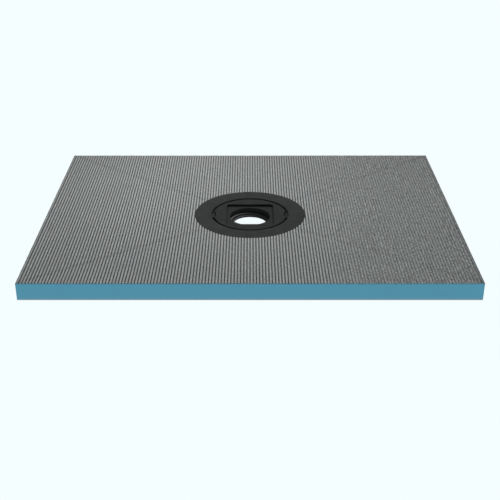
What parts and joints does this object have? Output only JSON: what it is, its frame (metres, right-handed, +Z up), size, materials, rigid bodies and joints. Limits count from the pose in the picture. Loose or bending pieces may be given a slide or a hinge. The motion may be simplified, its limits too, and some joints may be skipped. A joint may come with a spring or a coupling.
{
  "type": "tileable shower tray",
  "caption": "Rectangular foam shower tray with mortar-coated falls to a central round drain flange and square grate recess.",
  "frame": {"origin": "middle of the underside, under the centre of the drain", "axes": "+X along the long side, +Y towards the back long side, +Z up out of the tiled face"},
  "size_m": [1.2, 0.9, 0.05],
  "materials": {
    "foam": "cut extruded polystyrene foam, blue, fine matt cell texture",
    "top_mortar": "grey polymer cement mortar over reinforcing mesh, fine ribs front to back",
    "bottom_mortar": "thin grey polymer cement mortar over reinforcing mesh",
    "flange_plastic": "moulded black plastic, satin, fine grain",
    "disc_plastic": "moulded black plastic, satin"
  },
  "bodies": {
    "root": {"foam_core": "foam", "top_coating": "top_mortar", "bottom_coating": "bottom_mortar", "drain_flange": "flange_plastic", "drain_disc": "disc_plastic"}
  },
  "joints": []
}
